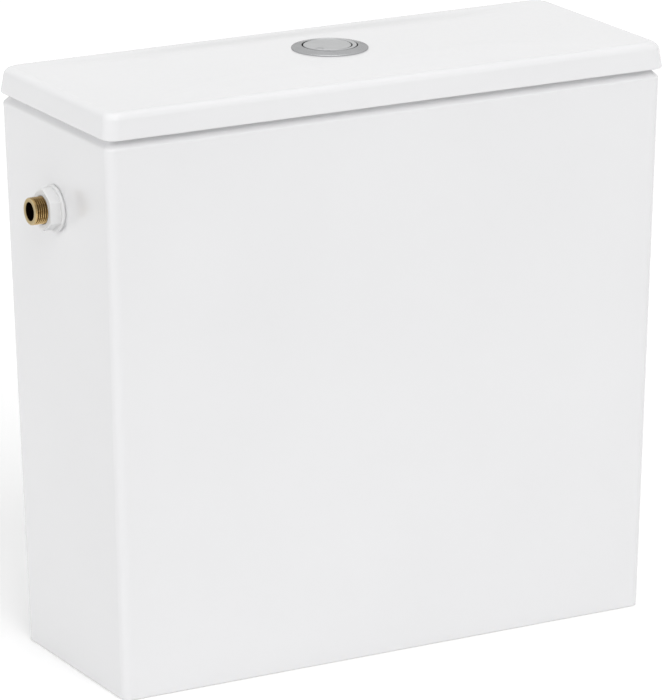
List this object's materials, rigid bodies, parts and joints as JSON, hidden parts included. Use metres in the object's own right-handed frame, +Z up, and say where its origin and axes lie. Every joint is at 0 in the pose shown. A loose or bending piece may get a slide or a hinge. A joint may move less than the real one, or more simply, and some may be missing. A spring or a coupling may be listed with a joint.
{
  "type": "toilet cistern",
  "caption": "Close-coupled ceramic toilet cistern with a lift-off lid, round dual flush button and threaded side water inlet.",
  "frame": {"origin": "on the flush outlet's axis, in the plane of the base that rests on the pan", "axes": "+Z up, -Y out of the front face, -X out of the water inlet"},
  "size_m": [0.3991, 0.1479, 0.3687],
  "materials": {
    "glazed_ceramic": "white glaze, glossy",
    "chromed_plastic": "chrome plated, satin bright",
    "brass": "machined brass thread",
    "white_plastic": "moulded white plastic",
    "grey_plastic": "moulded light grey plastic",
    "blue_plastic": "moulded blue plastic",
    "black_plastic": "moulded black plastic strainer",
    "rubber": "black moulded rubber",
    "spring_steel": "drawn stainless wire and pins"
  },
  "bodies": {
    "tank": {"tank": "glazed_ceramic", "valve_base": "white_plastic", "valve_base_gasket": "rubber", "back_nut": "grey_plastic", "coupling_seal": "rubber", "flush_tower": "white_plastic", "tower_cap": "grey_plastic", "lever_pins": "spring_steel", "inlet_tail": "brass", "inlet_collar": "white_plastic", "inlet_gasket": "rubber", "inlet_filter": "black_plastic", "fill_valve_body": "white_plastic", "fill_valve_cap": "blue_plastic", "diaphragm": "rubber", "silencer_tube": "white_plastic", "float_lever_pin": "spring_steel"},
    "lid": {"lid": "glazed_ceramic", "button_bezel": "chromed_plastic", "button_gasket": "rubber", "button_nut": "white_plastic", "full_flush_spring": "spring_steel", "half_flush_spring": "spring_steel"},
    "full_button": {"full_flush_button": "chromed_plastic", "full_flush_rod": "grey_plastic"},
    "half_button": {"half_flush_button": "chromed_plastic", "half_flush_rod": "blue_plastic"},
    "full_plate": {"full_flush_plate": "grey_plastic"},
    "half_plate": {"half_flush_plate": "blue_plastic"},
    "full_lever": {"full_flush_lever": "grey_plastic"},
    "half_lever": {"half_flush_lever": "blue_plastic"},
    "collar": {"lift_collar": "grey_plastic"},
    "valve": {"overflow_tube": "white_plastic", "valve_seal": "rubber", "seal_retainer": "blue_plastic", "valve_float": "grey_plastic"},
    "float": {"fill_float": "white_plastic", "float_rod": "blue_plastic", "level_adjuster": "blue_plastic"},
    "float_arm": {"float_lever": "blue_plastic"}
  },
  "joints": [
    {"name": "lid_lift", "type": "slide", "parent": "tank", "child": "lid", "axis": [0, 0, 1], "range_m": [0, 0.15]},
    {"name": "full_flush_press", "type": "slide", "parent": "lid", "child": "full_button", "axis": [0, 0, -1], "range_m": [0, 0.007], "stiffness_N_per_m": 600, "springref_m": -0.004, "deforming": ["full_flush_spring"]},
    {"name": "half_flush_press", "type": "slide", "parent": "lid", "child": "half_button", "axis": [0, 0, -1], "range_m": [0, 0.007], "stiffness_N_per_m": 600, "springref_m": -0.004, "deforming": ["half_flush_spring"]},
    {"name": "full_plate_press", "type": "slide", "parent": "tank", "child": "full_plate", "axis": [0, 0, -1], "range_m": [0, 0.00701]},
    {"name": "half_plate_press", "type": "slide", "parent": "tank", "child": "half_plate", "axis": [0, 0, -1], "range_m": [0, 0.00701]},
    {"name": "full_lever_turn", "type": "hinge", "parent": "tank", "child": "full_lever", "pos_m": [-0.0201, 0, 0.266], "axis": [0, -1, 0], "range_deg": [0, 33.93]},
    {"name": "half_lever_turn", "type": "hinge", "parent": "tank", "child": "half_lever", "pos_m": [0.0201, 0, 0.266], "axis": [0, 1, 0], "range_deg": [0, 33.93]},
    {"name": "collar_lift", "type": "slide", "parent": "tank", "child": "collar", "axis": [0, 0, 1], "range_m": [0, 0.00999]},
    {"name": "valve_lift", "type": "slide", "parent": "collar", "child": "valve", "axis": [0, 0, 1], "range_m": [0, 0.00999]},
    {"name": "float_rise", "type": "slide", "parent": "tank", "child": "float", "axis": [0, 0, 1], "range_m": [0, 0.008]},
    {"name": "float_lever_turn", "type": "hinge", "parent": "tank", "child": "float_arm", "pos_m": [-0.15079, -0.0044, 0.32496], "axis": [0, -1, 0], "range_deg": [0, 13.53]}
  ],
  "couplings": [
    {"joint": "full_plate_press", "follows": "full_flush_press", "ratio": 1},
    {"joint": "half_plate_press", "follows": "half_flush_press", "ratio": 1},
    {"joint": "full_lever_turn", "follows": "full_flush_press", "rad_per_m": 84.563},
    {"joint": "half_lever_turn", "follows": "half_flush_press", "rad_per_m": 84.563},
    {"joint": "collar_lift", "follows": "full_flush_press", "ratio": 1.425},
    {"joint": "valve_lift", "follows": "half_flush_press", "ratio": 1.425},
    {"joint": "float_lever_turn", "follows": "float_rise", "rad_per_m": 29.48}
  ]
}
